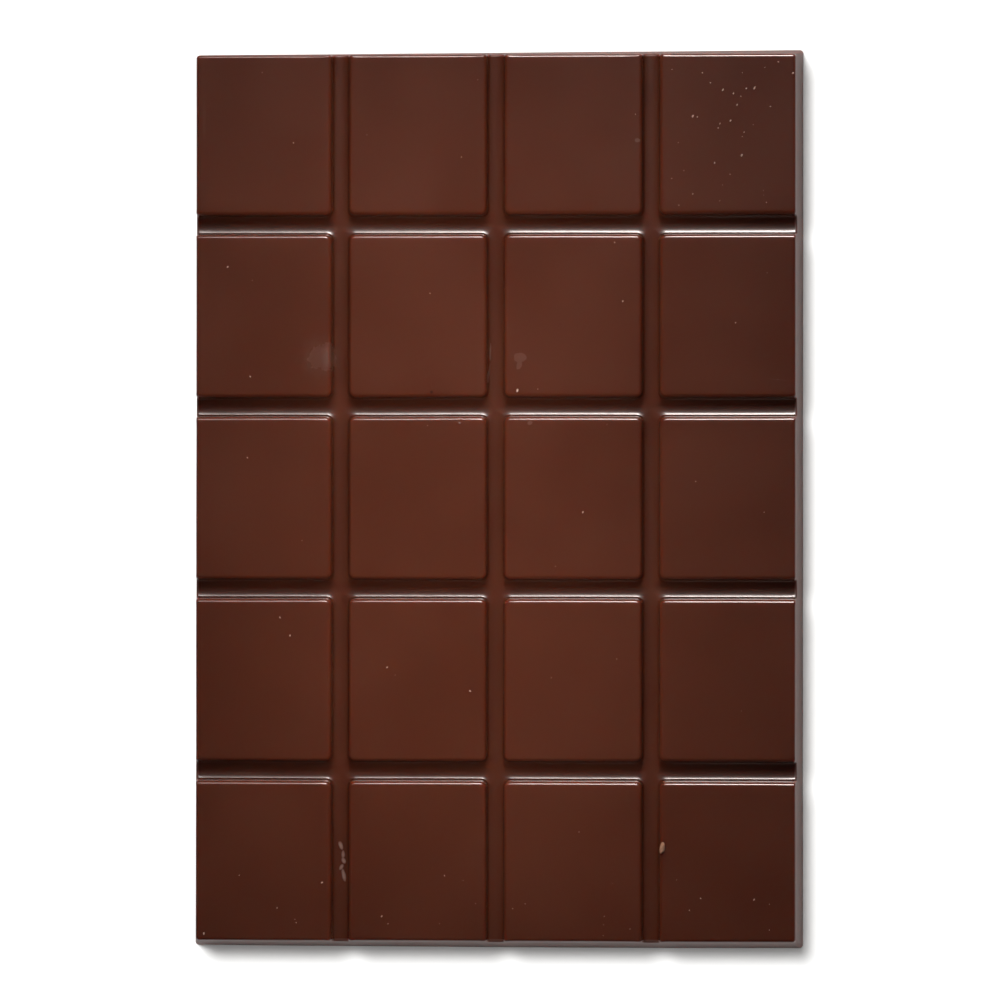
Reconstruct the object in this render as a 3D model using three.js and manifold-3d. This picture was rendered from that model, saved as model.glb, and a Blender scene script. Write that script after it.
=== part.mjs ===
// A moulded chocolate bar: a tablet of 4 by 5 plain pieces that snap apart along grooves.
// Millimetres, +Z up. The patterned face looks up, the flat back lies on z = 0, and the
// origin is the centre of that back. The short side runs along X and the long side along Y.
import * as THREE from "three";
import Module from "manifold-3d";

// The tablet
const COLUMNS = 4;
const ROWS = 5;
const THICKNESS = 8.6;
const FACE_WIDTH = 80; // patterned face, along X
const FACE_LENGTH = 118.2; // patterned face, along Y
const FACE_CORNER_RADIUS = 0.7;
const SIDE_DRAFT_RUN = 0.95; // how far each long side slopes outward, face to back
const END_DRAFT_RUN = 1.4; // the same for each short end
const FACE_EDGE_RADIUS = 0.4;
const BACK_EDGE_RADIUS = 0.3;

// The grooves, measured across from flat to flat
const COLUMN_PITCH = 20.75;
const ROW_PITCH = 24.3;
const LONG_GROOVE_WIDTH = 3.3;
const CROSS_GROOVE_WIDTH = 3.6;
const GROOVE_DEPTH = 2.6;
const GROOVE_WALL_LEAN = THREE.MathUtils.degToRad(7); // from upright
const LIP_RADIUS = 0.45;
const FOOT_RADIUS = 0.45;
const PIECE_CORNER_RADIUS = 0.35; // in plan, where the flat of a piece ends

// Steps in the round stretches
const CORNER_STEPS = 4;
const ARC_STEPS = 4;

// How far the slab and the outer pieces run on past the block, which trims them
const OVERRUN = 4;

const wasm = await Module();
wasm.setup();

// One level of a loft: a rectangle with round corners, seen from above, anticlockwise.
function ringOf(centre, halfX, halfY, cornerRadius, z) {
  const points = [];
  const quarterTurn = Math.PI / 2;
  for (let corner = 0; corner < 4; corner++) {
    const signX = corner === 0 || corner === 3 ? 1 : -1;
    const signY = corner < 2 ? 1 : -1;
    for (let step = 0; step <= CORNER_STEPS; step++) {
      const angle = (corner + step / CORNER_STEPS) * quarterTurn;
      points.push(
        new THREE.Vector3(
          centre.x + signX * (halfX - cornerRadius) + cornerRadius * Math.cos(angle),
          centre.y + signY * (halfY - cornerRadius) + cornerRadius * Math.sin(angle),
          z,
        ),
      );
    }
  }
  return points;
}

// The closed solid through rings of equal length, listed from the lowest to the highest.
function loft(rings) {
  const count = rings[0].length;
  const positions = rings.flat().flatMap((point) => point.toArray());
  const triangles = [];
  for (let level = 0; level + 1 < rings.length; level++) {
    for (let i = 0; i < count; i++) {
      const next = (i + 1) % count;
      const low = level * count;
      const high = low + count;
      triangles.push(low + i, low + next, high + next);
      triangles.push(low + i, high + next, high + i);
    }
  }
  const top = (rings.length - 1) * count;
  for (let i = 1; i + 1 < count; i++) {
    triangles.push(0, i + 1, i);
    triangles.push(top, top + i, top + i + 1);
  }
  return new wasm.Manifold(
    new wasm.Mesh({
      numProp: 3,
      vertProperties: new Float32Array(positions),
      triVerts: new Uint32Array(triangles),
    }),
  );
}

// The block before its grooves: slightly wider at the back than at the patterned face,
// with eased edges all round.
function block() {
  const slopeX = SIDE_DRAFT_RUN / THICKNESS;
  const slopeY = END_DRAFT_RUN / THICKNESS;
  const ringAt = (z, inset) => {
    const outX = slopeX * (THICKNESS - z) - inset;
    const outY = slopeY * (THICKNESS - z) - inset;
    const radius = FACE_CORNER_RADIUS + Math.min(outX, outY);
    return ringOf(
      new THREE.Vector2(),
      FACE_WIDTH / 2 + outX,
      FACE_LENGTH / 2 + outY,
      Math.max(radius, FACE_CORNER_RADIUS / 2),
      z,
    );
  };
  const rings = [];
  for (let step = 0; step <= ARC_STEPS; step++) {
    const angle = (step / ARC_STEPS) * (Math.PI / 2);
    const rise = BACK_EDGE_RADIUS * (1 - Math.cos(angle));
    rings.push(ringAt(rise, BACK_EDGE_RADIUS * (1 - Math.sin(angle))));
  }
  for (let step = 0; step <= ARC_STEPS; step++) {
    const angle = (step / ARC_STEPS) * (Math.PI / 2);
    const drop = FACE_EDGE_RADIUS * (1 - Math.sin(angle));
    rings.push(ringAt(THICKNESS - drop, FACE_EDGE_RADIUS * (1 - Math.cos(angle))));
  }
  return loft(rings);
}

// One raised piece, from below the groove floor to above the face. Its foot sweeps out of
// the floor, its wall leans in, and its lip rounds over onto the flat.
function raisedPiece(west, east, south, north) {
  const centre = new THREE.Vector2((west + east) / 2, (south + north) / 2);
  const floor = THICKNESS - GROOVE_DEPTH;
  const wallSlope = Math.PI / 2 - GROOVE_WALL_LEAN;
  const arcRun = Math.sin(wallSlope);
  const arcRise = 1 - Math.cos(wallSlope);
  const wallRise = GROOVE_DEPTH - (LIP_RADIUS + FOOT_RADIUS) * arcRise;
  const wallRun = wallRise * Math.tan(GROOVE_WALL_LEAN);
  const footRun = LIP_RADIUS * arcRun + wallRun + FOOT_RADIUS * arcRun;
  const ringAt = (out, z) =>
    ringOf(
      centre,
      (east - west) / 2 + out,
      (north - south) / 2 + out,
      PIECE_CORNER_RADIUS + out,
      z,
    );
  const rings = [ringAt(footRun, floor - OVERRUN)];
  for (let step = 0; step <= ARC_STEPS; step++) {
    const slope = (step / ARC_STEPS) * wallSlope;
    const out = footRun - FOOT_RADIUS * Math.sin(slope);
    rings.push(ringAt(out, floor + FOOT_RADIUS * (1 - Math.cos(slope))));
  }
  for (let step = ARC_STEPS; step >= 0; step--) {
    const slope = (step / ARC_STEPS) * wallSlope;
    const out = LIP_RADIUS * Math.sin(slope);
    rings.push(ringAt(out, THICKNESS - LIP_RADIUS * (1 - Math.cos(slope))));
  }
  rings.push(ringAt(0, THICKNESS + OVERRUN));
  return loft(rings);
}

// Where piece number index of a row of count pieces begins and ends. The pieces at the
// two ends run out past the block, so that only the grooves are cut.
function span(index, count, pitch, grooveWidth, faceSize) {
  const from = (index - count / 2) * pitch + grooveWidth / 2;
  const to = from + pitch - grooveWidth;
  const past = faceSize / 2 + OVERRUN;
  return [index === 0 ? -past : from, index === count - 1 ? past : to];
}

// Everything that the grooves leave standing: the slab under them and the raised pieces.
function relief() {
  const origin = new THREE.Vector2();
  const halfX = FACE_WIDTH / 2 + OVERRUN;
  const halfY = FACE_LENGTH / 2 + OVERRUN;
  let solid = loft([
    ringOf(origin, halfX, halfY, FACE_CORNER_RADIUS, -OVERRUN),
    ringOf(origin, halfX, halfY, FACE_CORNER_RADIUS, THICKNESS - GROOVE_DEPTH),
  ]);
  for (let column = 0; column < COLUMNS; column++) {
    const [west, east] = span(column, COLUMNS, COLUMN_PITCH, LONG_GROOVE_WIDTH, FACE_WIDTH);
    for (let row = 0; row < ROWS; row++) {
      const [south, north] = span(row, ROWS, ROW_PITCH, CROSS_GROOVE_WIDTH, FACE_LENGTH);
      solid = solid.add(raisedPiece(west, east, south, north));
    }
  }
  return solid;
}

// A boolean's result as a three.js geometry.
function geometryOf(solid) {
  const mesh = solid.getMesh();
  const geometry = new THREE.BufferGeometry();
  geometry.setAttribute("position", new THREE.BufferAttribute(mesh.vertProperties, 3));
  geometry.setIndex(new THREE.BufferAttribute(mesh.triVerts, 1));
  geometry.computeVertexNormals();
  return geometry;
}

const chocolate = new THREE.MeshStandardMaterial({
  name: "tempered chocolate",
  color: 0x4a2117,
  roughness: 0.35,
  metalness: 0,
});

const bar = new THREE.Mesh(geometryOf(block().intersect(relief())), chocolate);
bar.name = "chocolate_bar";

const part = new THREE.Group();
part.name = "chocolate bar";
part.add(bar);

export default part;
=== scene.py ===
import math
import random

import bpy
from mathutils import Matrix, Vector, noise


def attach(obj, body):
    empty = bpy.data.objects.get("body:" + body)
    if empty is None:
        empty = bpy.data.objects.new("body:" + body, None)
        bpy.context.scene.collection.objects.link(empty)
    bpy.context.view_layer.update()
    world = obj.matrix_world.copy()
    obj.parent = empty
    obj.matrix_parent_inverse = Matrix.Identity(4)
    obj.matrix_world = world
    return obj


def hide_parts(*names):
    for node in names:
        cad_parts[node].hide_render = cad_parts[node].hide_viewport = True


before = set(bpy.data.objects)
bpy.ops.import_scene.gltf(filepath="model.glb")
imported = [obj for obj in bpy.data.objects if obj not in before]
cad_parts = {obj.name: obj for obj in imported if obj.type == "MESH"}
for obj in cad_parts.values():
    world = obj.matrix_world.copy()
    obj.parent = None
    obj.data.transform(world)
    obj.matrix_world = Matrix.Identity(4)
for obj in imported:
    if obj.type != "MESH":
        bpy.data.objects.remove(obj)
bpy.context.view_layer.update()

scene = bpy.context.scene

# ---- The bar -----------------------------------------------------------------------------
# A solid tablet of dark milk chocolate: 4 by 5 plain pieces that snap apart along grooves.
# It is cast face down in a polished mould, so the face comes out glossy, and the wrapper
# has rubbed its sides dull. The back was the open side of the mould, and is scraped level.
MM = 0.001
THICKNESS = 8.6
FACE_HALF = (40.0, 59.1)  # half of the patterned face, across and along
PIECES = (4, 5)
PITCH = (20.75, 24.3)
GROOVE_WIDTH = (3.3, 3.6)  # from flat to flat
GROOVE_DEPTH = 2.4
WALL_SLOPE = math.radians(84)
LIP_RADIUS = 0.45
FOOT_RADIUS = 0.28
FLOOR_SLOPE = math.radians(15)  # where the dished floor of a groove meets the foot of its wall
FLOOR_DISH = 0.1
PIECE_CORNER = 0.35
BLOCK_CORNER = 0.45
FACE_EDGE = 0.35
BACK_EDGE = 0.3
MOUTH_EDGE = 0.2  # where the grooves run out of the sides
SIDE_BEND = 1.3  # the outer sides spread faster towards the back
# How far each outer side spreads from the face to the back: at its low end, and how that
# changes along it, evenly and with the square of the way
LEFT_SPREAD = (0.87, -0.17, 0.0)
RIGHT_SPREAD = (1.03, 0.0, 0.0)
NEAR_SPREAD = (1.25, 0.55, -0.4)
FAR_SPREAD = (0.66, 0.47, 0.0)

# Steps of the mesh round each arc and across each flat
LIP_STEPS = 6
FOOT_STEPS = 6
DISH_STEPS = 3
EDGE_STEPS = 5
BACK_STEPS = 4
FLAT_STEPS = (10, 12)
WALL_SHARES = (0.1, 0.19, 0.25, 0.29, 0.35, 0.45, 0.72, 1.0)

# The rings round a piece, from the centre of its corner arc to the foot of its wall: how
# far out each one lies, and how deep. The floor's rings follow, up to the groove's middle.
foot_height = FOOT_RADIUS * (math.cos(FLOOR_SLOPE) - math.cos(WALL_SLOPE))
lip_height = LIP_RADIUS * (1 - math.cos(WALL_SLOPE))
wall_height = GROOVE_DEPTH - FLOOR_DISH - foot_height - lip_height
foot_run = LIP_RADIUS * math.sin(WALL_SLOPE) + wall_height / math.tan(WALL_SLOPE)
foot_run += FOOT_RADIUS * (math.sin(WALL_SLOPE) - math.sin(FLOOR_SLOPE))
rings = [(0.0, 0.0)]
for step in range(LIP_STEPS + 1):
    slope = WALL_SLOPE * step / LIP_STEPS
    rings.append((PIECE_CORNER + LIP_RADIUS * math.sin(slope), LIP_RADIUS * (1 - math.cos(slope))))
for step in range(FOOT_STEPS, -1, -1):
    slope = FLOOR_SLOPE + (WALL_SLOPE - FLOOR_SLOPE) * step / FOOT_STEPS
    out = foot_run - FOOT_RADIUS * (math.sin(slope) - math.sin(FLOOR_SLOPE))
    rise = FOOT_RADIUS * (math.cos(FLOOR_SLOPE) - math.cos(slope))
    rings.append((PIECE_CORNER + out, GROOVE_DEPTH - FLOOR_DISH - rise))
FOOT_RING = len(rings) - 1
GROOVE_RINGS = FOOT_RING + DISH_STEPS
SIDE_RINGS = 1 + EDGE_STEPS + len(WALL_SHARES) + BACK_STEPS


def lines_across(axis):
    """Mesh lines over one axis, low to high: (home, side, ring, whether on the outer side)."""
    lines = []
    for piece in range(PIECES[axis]):
        centre = (piece - (PIECES[axis] - 1) / 2) * PITCH[axis]
        flat = (PITCH[axis] - GROOVE_WIDTH[axis]) / 2
        first = piece == 0
        last = piece == PIECES[axis] - 1
        low = BLOCK_CORNER - FACE_HALF[axis] if first else centre - flat + PIECE_CORNER
        high = FACE_HALF[axis] - BLOCK_CORNER if last else centre + flat - PIECE_CORNER
        start = SIDE_RINGS if first else GROOVE_RINGS - 1
        stop = SIDE_RINGS if last else GROOVE_RINGS
        lines += [(low, -1, ring, first) for ring in range(start, 0, -1)]
        for step in range(FLAT_STEPS[axis] + 1):
            lines.append((low + (high - low) * step / FLAT_STEPS[axis], 0, 0, False))
        lines += [(high, 1, ring, last) for ring in range(1, stop + 1)]
    return lines


def round_corner(across, along):
    """The ring and the angle on round corners that step (across, along) of square ones takes."""
    ring = max(across, along)
    if ring == 0:
        return 0, 0.0
    eighths = along / across if across >= along else 2 - across / along
    return ring, math.pi / 4 * eighths


def half_groove(axis):
    return PIECE_CORNER + GROOVE_WIDTH[axis] / 2


def floor_drop(share):
    """How deep the dished floor lies, from the foot of a wall (0) to mid groove (1)."""
    return GROOVE_DEPTH - FLOOR_DISH * (1 - share) ** 2


def ring_place(axis, ring):
    """How far out and how deep a ring lies, straight across a groove."""
    if ring <= FOOT_RING:
        return rings[ring]
    share = (ring - FOOT_RING) / DISH_STEPS
    foot = rings[FOOT_RING][0]
    return foot + (half_groove(axis) - foot) * share, floor_drop(share)


def relief_point(line_x, line_y):
    """A point of the pieces and grooves, away from the outer sides."""
    ring, angle = round_corner(line_x[2], line_y[2])
    reach, drop = rings[min(ring, FOOT_RING)]
    out_x = reach * math.cos(angle)
    out_y = reach * math.sin(angle)
    if ring > FOOT_RING:
        share = (ring - FOOT_RING) / DISH_STEPS
        out_x += (half_groove(0) * line_x[2] / ring - out_x) * share
        out_y += (half_groove(1) * line_y[2] / ring - out_y) * share
        drop = floor_drop(share)
    return line_x[0] + line_x[1] * out_x, line_y[0] + line_y[1] * out_y, THICKNESS - drop


def side_slope(axis, side, along):
    """How much wider the bar gets per millimetre towards its back, at a place on one side."""
    share = 0.5 + along / (2 * FACE_HALF[1 - axis])
    low_side, high_side = ((LEFT_SPREAD, RIGHT_SPREAD), (NEAR_SPREAD, FAR_SPREAD))[axis]
    start, change, bend = low_side if side < 0 else high_side
    return (start + change * share + bend * share * share) / THICKNESS


def side_run(slope, drop):
    """How much further out an outer side lies at some depth below the face."""
    return slope * THICKNESS * (max(drop, 0.0) / THICKNESS) ** SIDE_BEND


def side_profile(ring, top, slope):
    """How far out from the face's edge, and how high, a ring of an outer side lies."""
    if ring <= EDGE_STEPS + 1:
        turn = math.pi / 2 * (ring - 1) / EDGE_STEPS
        inset = FACE_EDGE * (1 - math.sin(turn))
        height = top - FACE_EDGE * (1 - math.cos(turn))
    elif ring <= SIDE_RINGS - BACK_STEPS:
        share = WALL_SHARES[ring - EDGE_STEPS - 2]
        inset = 0.0
        height = top - FACE_EDGE - share * (top - FACE_EDGE - BACK_EDGE)
    else:
        turn = math.pi / 2 * (ring - SIDE_RINGS + BACK_STEPS) / BACK_STEPS
        inset = BACK_EDGE * (1 - math.cos(turn))
        height = BACK_EDGE * (1 - math.sin(turn))
    return side_run(slope, THICKNESS - height) - inset, height


def soft_max(a, b, radius):
    """The larger of two distances, with the edge where they meet rounded off."""
    return min(max(a, b), -radius) + math.hypot(max(a + radius, 0), max(b + radius, 0))


def gap(out, past, drop, slope, middle):
    """How far outside the chocolate a point at the mouth of a groove lies."""
    lip_reach = LIP_RADIUS * math.tan(WALL_SLOPE / 2)
    wall = (past - lip_reach) * math.sin(WALL_SLOPE) - drop * math.cos(WALL_SLOPE)
    piece = soft_max(-drop, wall, lip_height)
    share = min(max((past - foot_run) / (middle - foot_run), -0.5), 1)
    relief = -soft_max(-piece, drop - floor_drop(share), foot_height)
    return soft_max(relief, out - side_run(slope, drop), MOUTH_EDGE)


def ease_mouth(out, past, drop, slope, middle):
    """Moves a point at the mouth of a groove onto the rounded edge there."""
    tries = 5
    tiny = 1e-4
    too_flat = 0.01
    point = Vector((out, past, drop))
    for _ in range(tries):
        here = gap(*point, slope, middle)
        uphill = Vector(
            (gap(*(point + tiny * Vector(way)), slope, middle) - here) / tiny
            for way in ((1, 0, 0), (0, 1, 0), (0, 0, 1))
        )
        if uphill.length_squared < too_flat:
            break
        point -= uphill * (here / uphill.length_squared)
    return point


def side_point(axis, outer, other):
    """A point of the outer band, on the line outer across the axis and other along it."""
    _, side, ring, _ = outer
    low_home, low_side, low_ring, _ = other
    reach, drop = ring_place(1 - axis, low_ring)
    along = low_home + low_side * reach
    slope = side_slope(axis, side, along)
    out, height = side_profile(ring, THICKNESS - drop, slope)
    if low_side and ring <= SIDE_RINGS - BACK_STEPS:
        place = (out, reach - PIECE_CORNER, THICKNESS - height, slope)
        out, past, drop = ease_mouth(*place, GROOVE_WIDTH[1 - axis] / 2)
        along = low_home + low_side * (PIECE_CORNER + past)
        height = THICKNESS - drop
    place = side * (FACE_HALF[axis] + out)
    return (place, along, height) if axis == 0 else (along, place, height)


def corner_point(line_x, line_y):
    """A point of the bar's own upright corners."""
    ring, angle = round_corner(line_x[2], line_y[2])
    slope_x = side_slope(0, line_x[1], line_y[0])
    slope_y = side_slope(1, line_y[1], line_x[0])
    out, height = side_profile(ring, THICKNESS, slope_x)
    run_x = side_run(slope_x, THICKNESS - height)
    run_y = side_run(slope_y, THICKNESS - height)
    radius = BLOCK_CORNER + out - run_x
    x = line_x[0] + line_x[1] * (run_x + radius * math.cos(angle))
    y = line_y[0] + line_y[1] * (run_y + radius * math.sin(angle))
    return x, y, height


def face_point(line_x, line_y):
    if line_x[3] and line_y[3]:
        return corner_point(line_x, line_y)
    if line_x[3]:
        return side_point(0, line_x, line_y)
    if line_y[3]:
        return side_point(1, line_y, line_x)
    return relief_point(line_x, line_y)


def back_point(line_x, line_y):
    """A point of the back, which lies flat inside the rounded edge all round it."""
    ends = []
    ring, angle = round_corner(*(line[2] if line[3] else 0 for line in (line_x, line_y)))
    for axis, line in enumerate((line_x, line_y)):
        if not line[3]:
            ends.append(line[0] + line[1] * ring_place(axis, line[2])[0])
            continue
        slope = side_slope(axis, line[1], (line_y, line_x)[axis][0])
        edge = BLOCK_CORNER + slope * THICKNESS - BACK_EDGE
        share = (math.cos(angle), math.sin(angle))[axis] * ring / SIDE_RINGS
        ends.append(line[0] + line[1] * edge * share)
    return ends[0], ends[1], 0.0


# The unevenness of the cast surface: the length and height of its long and short waves.
# The back stands on a rim, and inside it is hollow and rippled by the scraper.
LONG_WAVES = (17, 0.035)
SHORT_WAVES = (6, 0.008)
BACK_RIM = 3.0  # how wide the slope from its edge to the hollow is
BACK_HOLLOW = 0.03
RIPPLE_HEIGHT = 0.05
RIPPLE_SIZE = (4, 13)  # across and along
RIPPLE_DRAW = 7.3  # which ripples are drawn
SWELL_DRAWS = (Vector((11.3, 5.7, 2.9)), Vector((4.1, 17.6, 8.3)), Vector((9.8, 3.2, 14.5)))


def swell(spot, length):
    """A smooth shift that varies from place to place, in waves of this length."""
    return Vector(noise.noise(spot / length + draw) for draw in SWELL_DRAWS)


def wander(point):
    """The place in metres that a point given in millimetres has on the cast bar."""
    x, y, z = point
    spot = Vector((x, y, z))
    drift = swell(spot, LONG_WAVES[0]) * LONG_WAVES[1]
    drift += swell(spot, SHORT_WAVES[0]) * SHORT_WAVES[1]
    lift = drift.z * z / THICKNESS
    if z == 0.0:
        inset = min(FACE_HALF[0] - abs(x), FACE_HALF[1] - abs(y), BACK_RIM)
        wave = noise.noise(Vector((x / RIPPLE_SIZE[0], y / RIPPLE_SIZE[1], RIPPLE_DRAW)))
        ripple = 0.5 + 0.5 * wave
        lift = max(inset, 0.0) / BACK_RIM * (BACK_HOLLOW + RIPPLE_HEIGHT * ripple)
    return ((x + drift.x) * MM, (y + drift.y) * MM, (z + lift) * MM)


def bar_mesh():
    lines_x = lines_across(0)
    lines_y = lines_across(1)
    across = len(lines_x)
    along = len(lines_y)
    points = [face_point(x, y) for y in lines_y for x in lines_x]
    back_numbers = {}
    for row in range(1, along - 1):
        for column in range(1, across - 1):
            back_numbers[row * across + column] = len(points)
            points.append(back_point(lines_x[column], lines_y[row]))
    faces = []
    for row in range(along - 1):
        for column in range(across - 1):
            low = row * across + column
            high = low + across
            faces.append((low, low + 1, high + 1, high))
            faces.append([back_numbers.get(n, n) for n in (low, high, high + 1, low + 1)])
    mesh = bpy.data.meshes.new("bar")
    mesh.from_pydata([wander(point) for point in points], [], faces)
    mesh.polygons.foreach_set("use_smooth", [True] * len(mesh.polygons))
    mesh.validate()
    mesh.update()
    return mesh


class Wire:
    """A socket in a material's nodes. Sums on wires add Math nodes to the same material."""

    def __init__(self, tree, socket=None):
        self.tree = tree
        self.socket = socket

    def add(self, kind, settings=None, sockets=None, output=0):
        """Adds a node of this kind, sets it up and feeds its sockets. Gives one output."""
        node = self.tree.nodes.new(kind)
        for name, value in (settings or {}).items():
            if name == "stops":
                stops = node.color_ramp.elements
                for number, (place, colour) in enumerate(value):
                    stop = stops[number] if number < 2 else stops.new(place)
                    stop.position = place
                    stop.color = colour
            else:
                setattr(node, name, value)
        for name, value in (sockets or {}).items():
            if isinstance(value, Wire):
                self.tree.links.new(value.socket, node.inputs[name])
            else:
                node.inputs[name].default_value = value
        return Wire(self.tree, node.outputs[output] if node.outputs else None)

    def sum(self, operation, first, second=0.0):
        return self.add("ShaderNodeMath", {"operation": operation}, {0: first, 1: second})

    def __add__(self, other):
        return self.sum("ADD", self, other)

    def __sub__(self, other):
        return self.sum("SUBTRACT", self, other)

    def __rsub__(self, other):
        return self.sum("SUBTRACT", other, self)

    def __mul__(self, other):
        return self.sum("MULTIPLY", self, other)

    __radd__ = __add__
    __rmul__ = __mul__

    def most(self, other):
        return self.sum("MAXIMUM", self, other)

    def ease(self, low, high):
        """0 below low and 1 above high, with a smooth rise between them."""
        sockets = {"Value": self, "From Min": low, "From Max": high}
        return self.add("ShaderNodeMapRange", {"interpolation_type": "SMOOTHSTEP"}, sockets)

    def tint(self, first, second):
        """The first colour where this wire is 0 and the second where it is 1."""
        sockets = {0: self, 6: first, 7: second}
        return self.add("ShaderNodeMix", {"data_type": "RGBA"}, sockets, output=2)

    def grain(self, size, detail=2.0, roughness=0.5):
        """Noise over the place that this wire gives, with grains of a size in millimetres."""
        sockets = {"Vector": self, "Scale": 1 / size, "Detail": detail, "Roughness": roughness}
        return self.add("ShaderNodeTexNoise", {}, sockets)


def new_finish(name):
    """An empty material: its output's surface wire, and a wire that gives the place in mm."""
    material = bpy.data.materials.new(name)
    material.use_nodes = True
    material.node_tree.nodes.clear()
    start = Wire(material.node_tree)
    place = start.add("ShaderNodeNewGeometry")
    scale = {0: place, "Scale": 1 / MM}
    millimetres = start.add("ShaderNodeVectorMath", {"operation": "SCALE"}, scale)
    return material, start, millimetres


def spot(place, centre, half_size, turn=0.0):
    """A wire that is 0 at the centre of an upright oval column and 1 on its outline."""
    sockets = {
        "Vector": place,
        "Location": (centre[0], centre[1], THICKNESS),
        "Rotation": (0, 0, math.radians(turn)),
        "Scale": (half_size[0], half_size[1], THICKNESS * 4),
    }
    local = place.add("ShaderNodeMapping", {"vector_type": "TEXTURE"}, sockets)
    return local.add("ShaderNodeVectorMath", {"operation": "LENGTH"}, {0: local}, output="Value")


# Where fingers and the wrapper dulled the face, which is real wear, and where its colour is
# lightened as a painted sheen: (place, half size, turn in degrees, how much)
RUBBED_AND_SHEEN = (
    ((-23.6, 18.7), (2.6, 3.0), 0, 0.55),
    ((-22.5, 18.9), (1.3, 2.6), 0, 1.0),
    ((3.3, 18.7), (1.1, 0.9), 0, 0.6),
    ((3.2, 17.7), (0.5, 0.9), -20, 0.5),
    ((-0.77, 19.5), (0.13, 1.4), -2, 1.0),
    ((-0.93, 16.8), (0.13, 1.6), -5, 0.9),
    ((18.9, 47.6), (0.55, 0.4), 0, 0.5),
    ((-38.95, 50.5), (0.25, 3.0), 0, 0.3),
    ((38.0, 15.7), (2.1, 0.12), -6, 0.4),
    ((4.6, 10.0), (0.5, 0.4), 0, 0.5),
)
# The broken chalky streak on the floor of the first long groove, piece by piece
CHALKED = (
    ((-20.77, -46.5), (0.26, 0.62), 20, 1.0),
    ((-20.46, -47.7), (0.24, 0.50), 0, 0.9),
    ((-20.36, -48.55), (0.28, 0.44), 25, 1.0),
    ((-20.68, -49.4), (0.24, 0.46), -32, 0.9),
    ((-20.36, -50.5), (0.26, 0.90), 12, 1.0),
)
# A near-black spot of painted shade stands for a tiny pit in the face; the mesh has no hollow
# there.
PIT_SHADE_SPOT = ((-8.5, 14.1), (0.3, 0.3))  # place and half size, as of the dent
DENT = ((-4.7, 10.2), (0.45, 0.4))
DENT_DEPTH = 0.05

DARK_COCOA = (0.063, 0.0137, 0.0062, 1)
PALE_COCOA = (0.071, 0.0162, 0.0074, 1)
# The lighter tint of rubbed marks, which partly paints the sheen of their dulled surface.
RUBBED_SHEEN_COLOUR = (0.15, 0.075, 0.05, 1)
CHALK_COLOUR = (0.20, 0.105, 0.082, 1)
# The near-black colour of the pit's painted shade.
PIT_SHADE_COLOUR = (0.012, 0.004, 0.003, 1)

BLOTCH_SIZE = 14.0
SMEAR_EDGE = (0.5, 1.5)  # where a smear starts and has ended, from its centre to its outline
RAGGED_SIZE = 0.7
RAGGED = 0.6
RUB_SHEEN_TINT = 0.22  # how much of its lighter colour, wear and painted sheen, a rubbed mark shows
PIT_SHADE_TINT = 0.7
WAVE_SIZE = 2.0
FACE_WAVES = 0.012
BACK_GRAIN = 0.05

# Roughness where the mould was polished, and how much duller the other places are
POLISHED = 0.2
BLOTCHED = 0.06
DULL_RUBBED = 0.12
DULL_CHALK = 0.4
DULL_SIDE = 0.4
DULL_BACK = 0.1


def smeared(place, smears, ragged):
    """Where any of these smears lies, from 0 to 1, with ragged outlines."""
    most = 0.0
    for centre, half_size, turn, amount in smears:
        smear = (1 - (spot(place, centre, half_size, turn) + ragged).ease(*SMEAR_EDGE)) * amount
        most = smear.most(most)
    return most


def chocolate_finish():
    material, start, place = new_finish("dark milk chocolate")
    broad = place.grain(BLOTCH_SIZE, 1.0)
    cocoa = broad.ease(0.3, 0.7).tint(DARK_COCOA, PALE_COCOA)
    height = place.add("ShaderNodeSeparateXYZ", {}, {0: place}, output="Z")
    ragged = place.grain(RAGGED_SIZE, 2.0) * RAGGED
    groove_floor = THICKNESS - GROOVE_DEPTH
    rubbed_and_sheen = smeared(place, RUBBED_AND_SHEEN, ragged) * height.ease(groove_floor - 0.2, groove_floor)
    chalk = smeared(place, CHALKED, ragged)
    # Painted shade: the tiny pit is only a near-black spot in the colour.
    pit_shade = 1 - spot(place, *PIT_SHADE_SPOT).ease(0.3, 1.0)
    # Rubbed marks are real wear that also dulls the face; their lighter tint is a painted sheen of
    # the dulled surface.
    colour = (rubbed_and_sheen * RUB_SHEEN_TINT).tint(cocoa, RUBBED_SHEEN_COLOUR)
    colour = chalk.tint(colour, CHALK_COLOUR)
    colour = (pit_shade * PIT_SHADE_TINT).tint(colour, PIT_SHADE_COLOUR)

    scraped = 1 - height.ease(0.02, 0.25)
    beyond = []
    for axis, name in enumerate(("X", "Y")):
        along = place.add("ShaderNodeSeparateXYZ", {}, {0: place}, output=name)
        beyond.append(along.sum("ABSOLUTE", along) - FACE_HALF[axis])
    outer_side = beyond[0].most(beyond[1]).ease(-0.2, 0.1)
    roughness = POLISHED + broad * BLOTCHED + rubbed_and_sheen * DULL_RUBBED + chalk * DULL_CHALK
    roughness = roughness + outer_side * DULL_SIDE + scraped * DULL_BACK
    dimple = 1 - spot(place, *DENT).ease(0.0, 1.0)
    waves = place.grain(WAVE_SIZE, 2.0) * (FACE_WAVES + scraped * BACK_GRAIN)
    relief = waves - dimple * DENT_DEPTH
    bump = start.add("ShaderNodeBump", {}, {"Height": relief, "Distance": MM, "Strength": 1.0})
    shader = start.add(
        "ShaderNodeBsdfPrincipled",
        {},
        {
            "Base Color": colour,
            "Roughness": roughness,
            "Normal": bump,
            "IOR": 1.47,
            "Subsurface Weight": 1.0,
            "Subsurface Radius": (1.0, 0.25, 0.12),
            "Subsurface Scale": 2.5 * MM,
        },
    )
    start.add("ShaderNodeOutputMaterial", {}, {"Surface": shader})
    return material


bar = bpy.data.objects.new("tablet", bar_mesh())
scene.collection.objects.link(bar)
bar.data.materials.append(chocolate_finish())
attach(bar, "root")
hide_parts("chocolate_bar")

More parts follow.
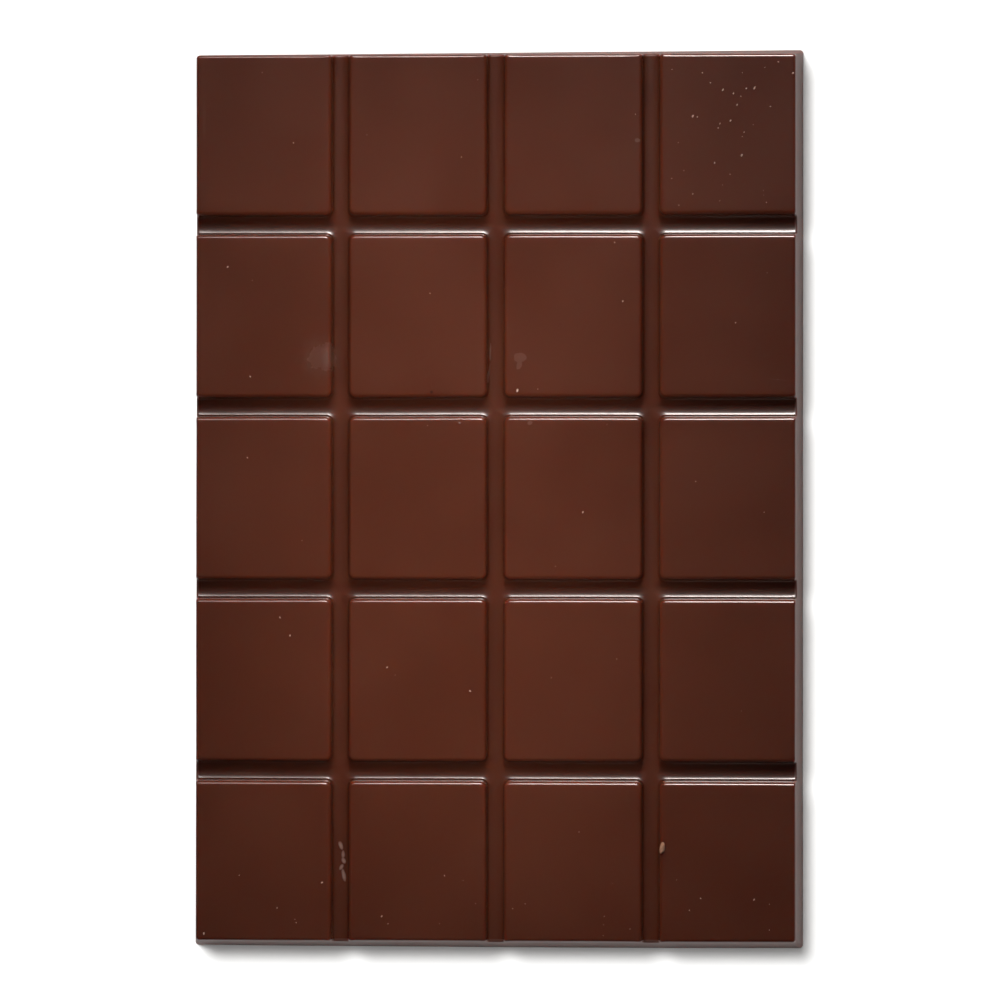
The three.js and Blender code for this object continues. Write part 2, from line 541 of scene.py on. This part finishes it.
# ---- The crumb ---------------------------------------------------------------------------
# A crumb of pale wafer that has fallen on the bar. It lies on its side across the right
# lip of the third long groove, near the bar's lower end.
CRUMB_PLACE = (22.3, -46.6)
CRUMB_HALF_SIZE = (0.37, 0.82, 0.30)
CRUMB_TURN = -7
CRUMB_STEPS = (30, 18)
SUNK = 0.12  # how much of a crumb's half height is pressed into the face
FLATS = 14  # the most broken faces that a grain has
FLAT_REACH = (0.62, 0.95)  # how far out they lie, as a share of its half size
LUMPS = (2.3, 0.12)  # how many swellings a grain has to its half size, and how high they are
PIMPLES = (7, 0.05)


def add_grain(points, faces, place, half_size, turn, steps, dice):
    """Adds a broken grain: a ball cut by flats in random directions, and turned on the face."""
    sides, bands = steps
    flats = []
    for _ in range(FLATS):
        way = Vector((dice.gauss(0, 1), dice.gauss(0, 1), dice.gauss(0, 1))).normalized()
        flats.append((way, dice.uniform(*FLAT_REACH)))
    first = len(points)
    cosine = math.cos(math.radians(turn))
    sine = math.sin(math.radians(turn))
    shift = Vector((dice.uniform(0, 90), 0, 0))
    for band in range(bands + 1):
        tilt = math.pi * band / bands
        for side in range(1 if band in (0, bands) else sides):
            round_way = 2 * math.pi * side / sides
            way = Vector(
                (
                    math.sin(tilt) * math.cos(round_way),
                    math.sin(tilt) * math.sin(round_way),
                    math.cos(tilt),
                )
            )
            reach = min([1.0] + [far / way.dot(out) for out, far in flats if way.dot(out) > 0.05])
            lumps = LUMPS[1] * noise.noise(way * LUMPS[0] + shift)
            reach *= 1 + lumps + PIMPLES[1] * noise.noise(way * PIMPLES[0] + shift)
            x, y, z = (way[axis] * reach * half_size[axis] for axis in range(3))
            out_x = place[0] + x * cosine - y * sine
            out_y = place[1] + x * sine + y * cosine
            rest = THICKNESS + half_size[2] * (1 - SUNK) * 0.85
            points.append((out_x * MM, out_y * MM, (rest + z) * MM))
    last = len(points) - 1
    for side in range(sides):
        after = (side + 1) % sides
        faces.append((first, first + 1 + side, first + 1 + after))
        foot = last - sides
        faces.append((last, foot + after, foot + side))
        for band in range(bands - 2):
            ring = first + 1 + band * sides
            faces.append((ring + side, ring + sides + side, ring + sides + after, ring + after))


def grains(name, kinds, steps, seed):
    """One mesh of grains: (place, half size, turn) for each."""
    dice = random.Random(seed)
    points = []
    faces = []
    for place, half_size, turn in kinds:
        add_grain(points, faces, place, half_size, turn, steps, dice)
    mesh = bpy.data.meshes.new(name)
    mesh.from_pydata(points, [], faces)
    mesh.polygons.foreach_set("use_smooth", [True] * len(mesh.polygons))
    mesh.update()
    piece = bpy.data.objects.new(name, mesh)
    scene.collection.objects.link(piece)
    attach(piece, "root")
    return piece


MEAL = (0.25, 0.05)  # size and height of the grains in a dry crumb
FINE_MEAL = (0.07, 0.02)


def dry_finish(name, dark, pale, roughness):
    """The mealy surface of a dry crumb, in two tones."""
    material, start, place = new_finish(name)
    meal = place.grain(MEAL[0], 4.0, 0.6)
    colour = meal.ease(0.35, 0.65).tint(dark, pale)
    relief = meal * MEAL[1] + place.grain(FINE_MEAL[0], 3.0) * FINE_MEAL[1]
    bump = start.add("ShaderNodeBump", {}, {"Height": relief, "Distance": MM, "Strength": 0.8})
    sockets = {"Base Color": colour, "Roughness": roughness + meal * 0.1, "Normal": bump}
    sockets["Subsurface Weight"] = 0.3
    sockets["Subsurface Radius"] = (1.0, 0.6, 0.4)
    sockets["Subsurface Scale"] = 0.15 * MM
    shader = start.add("ShaderNodeBsdfPrincipled", {}, sockets)
    start.add("ShaderNodeOutputMaterial", {}, {"Surface": shader})
    return material


CRUMB_SHADE = (0.17, 0.08, 0.043, 1)
CRUMB_TINT = (0.30, 0.16, 0.095, 1)

crumb = grains("crumb", ((CRUMB_PLACE, CRUMB_HALF_SIZE, CRUMB_TURN),), CRUMB_STEPS, 4)
crumb.data.materials.append(dry_finish("pale crumb", CRUMB_SHADE, CRUMB_TINT, 0.75))

# ---- The dust ----------------------------------------------------------------------------
# Specks of ground sugar and crumb dust, shed by the knife and the wrapper. They are lumps
# from about the thickness of a hair to half a millimetre long, and lie on the face.
BIG_SPECKS = (  # place and size of the ones that catch the eye
    ((30.3, 54.3), 0.34),
    ((34.5, 54.5), 0.34),
    ((31.7, 53.8), 0.24),
    ((32.2, 52.3), 0.24),
    ((26.3, 50.8), 0.36),
    ((26.9, 50.7), 0.20),
    ((31.3, 50.2), 0.30),
    ((29.9, 49.8), 0.22),
    ((32.8, 45.6), 0.38),
    ((29.2, 44.6), 0.26),
    ((39.6, 56.5), 0.36),
    ((-35.8, 30.8), 0.30),
    ((17.0, 26.2), 0.26),
    ((2.95, 14.3), 0.42),
    ((11.7, -1.9), 0.30),
    ((-14.4, -22.6), 0.28),
    ((-27.4, -18.4), 0.26),
    ((-38.9, -58.2), 0.34),
    ((-15.1, -55.8), 0.28),
    ((34.5, -53.4), 0.30),
)
# Small specks: how many, and the stretch of the face (low and high corner) that they lie on
SMALL_SPECKS = (
    (46, (-39.0, -58.0), (39.0, 58.0)),
    (22, (22.0, 38.0), (39.4, 58.4)),
    (26, (-39.0, -58.4), (39.0, -50.0)),
)
SPECK_STEPS = (9, 6)
BIG_SHAPE = (0.33, 0.6, 0.32)  # half width, half length and half height for a speck's size
SMALL_SIZE = (0.09, 0.13)  # the least size of a small speck, and the most that is added
SMALL_SHAPE = (0.42, (0.45, 0.8), 0.35)
CLEAR_OF_LIP = 0.3
DUST_SHADE = (0.36, 0.22, 0.17, 1)
DUST_TINT = (0.52, 0.36, 0.29, 1)


def on_a_flat(place):
    """Whether a place is on the flat top of a piece, clear of its grooves."""
    for axis in range(2):
        off_centre = place[axis] + PIECES[axis] * PITCH[axis] / 2
        from_middle = abs(off_centre % PITCH[axis] - PITCH[axis] / 2)
        if from_middle > (PITCH[axis] - GROOVE_WIDTH[axis]) / 2 - CLEAR_OF_LIP:
            return False
    return True


dice = random.Random(11)
specks = []
for place, size in BIG_SPECKS:
    half_size = tuple(size * part for part in BIG_SHAPE)
    specks.append((place, half_size, dice.uniform(-50, -10)))
for number, low, high in SMALL_SPECKS:
    for _ in range(number):
        place = (dice.uniform(low[0], high[0]), dice.uniform(low[1], high[1]))
        size = SMALL_SIZE[0] + SMALL_SIZE[1] * dice.random() ** 2
        half_length = size * dice.uniform(*SMALL_SHAPE[1])
        half_size = (size * SMALL_SHAPE[0], half_length, size * SMALL_SHAPE[2])
        if on_a_flat(place):
            specks.append((place, half_size, dice.uniform(-90, 90)))
dust = grains("dust", specks, SPECK_STEPS, 5)
dust.data.materials.append(dry_finish("sugar dust", DUST_SHADE, DUST_TINT, 0.6))

# ---- The floor ---------------------------------------------------------------------------
# A plain white sheet that the bar lies on.
FLOOR_HALF = 3.0
FLOOR_DROP = 0.005 * MM
PAPER_SHADE = (0.90, 0.90, 0.89, 1)
PAPER_TINT = (0.93, 0.93, 0.92, 1)

floor_mesh = bpy.data.meshes.new("floor")
floor_corners = [
    (x * FLOOR_HALF, y * FLOOR_HALF, -FLOOR_DROP) for x, y in ((-1, -1), (1, -1), (1, 1), (-1, 1))
]
floor_mesh.from_pydata(floor_corners, [], [(0, 1, 2, 3)])
floor = bpy.data.objects.new("floor", floor_mesh)
scene.collection.objects.link(floor)
floor_finish, floor_start, floor_place = new_finish("white sheet")
paper = floor_place.grain(60.0).tint(PAPER_SHADE, PAPER_TINT)
sheet = floor_start.add("ShaderNodeBsdfPrincipled", {}, {"Base Color": paper, "Roughness": 0.8})
floor_start.add("ShaderNodeOutputMaterial", {}, {"Surface": sheet})
floor_mesh.materials.append(floor_finish)

# ---- Light and camera --------------------------------------------------------------------
# Warm soft boxes stand beyond the bar's far end, one of which only gleams on its edges, and
# a low panel hangs over it. The floor has its own lamp, high on the far left, which casts the
# soft shadow to the right and towards the near end, and a weak wash from above.
world = bpy.data.worlds.new("surround")
scene.world = world
world.use_nodes = True
surround = world.node_tree.nodes["Background"]
surround.inputs["Color"].default_value = (1, 1, 1, 1)
surround.inputs["Strength"].default_value = 0.03

LAMPLIGHT = (1.0, 0.90, 0.86)

lit_groups = {}
for name, things in (("bar", (bar, crumb, dust)), ("floor", (floor,))):
    lit_groups[name] = bpy.data.collections.new("lit " + name)
    for thing in things:
        lit_groups[name].objects.link(thing)


def soft_box(
    name, lit, centre, size, watts, colour=(1, 1, 1), aim=(0, 0, 0), diffuse=True, glossy=True
):
    """An area light at a place in millimetres, which lights one group of things."""
    lamp = bpy.data.lights.new(name, "AREA")
    lamp.shape = "RECTANGLE"
    across, along = size if isinstance(size, tuple) else (size, size)
    lamp.size = across * MM
    lamp.size_y = along * MM
    lamp.energy = watts
    lamp.color = colour
    holder = bpy.data.objects.new(name, lamp)
    scene.collection.objects.link(holder)
    holder.location = Vector(centre) * MM
    holder.rotation_euler = (Vector(aim) - Vector(centre)).to_track_quat("-Z", "Y").to_euler()
    holder.visible_camera = False
    holder.visible_diffuse = diffuse
    holder.visible_glossy = glossy
    holder.light_linking.receiver_collection = lit_groups[lit]


soft_box("low_box", "bar", (0, 1298, 524), 300, 14.0, LAMPLIGHT, glossy=False)
soft_box("middle_box", "bar", (0, 972, 1007), 300, 6.5, LAMPLIGHT, glossy=False)
soft_box("high_box", "bar", (90, 742, 1187), 300, 6.0, LAMPLIGHT)
soft_box("gleam", "bar", (90, 823, 1133), (300, 420), 25.0, LAMPLIGHT, diffuse=False)
soft_box("panel", "bar", (-6, 3, 33), (53, 106), 0.029, glossy=False, aim=(-6, 3, 0))
soft_box("floor_lamp", "floor", (-185, 262, 900), 270, 10.6, aim=(60, -60, 0))
soft_box("floor_wash", "floor", (0, 0, 700), 600, 1.8)

view = bpy.data.cameras.new("view")
view.sensor_width = 36.0
view.lens = 214.06
view.clip_start = 0.05
view.clip_end = 20.0
camera = bpy.data.objects.new("view", view)
scene.collection.objects.link(camera)
camera.location = (0.038504, -0.001665, 0.8)
camera.rotation_euler = (0.0017754, 0.0477976, 0.00069285)
scene.camera = camera
scene.view_settings.view_transform = "Standard"
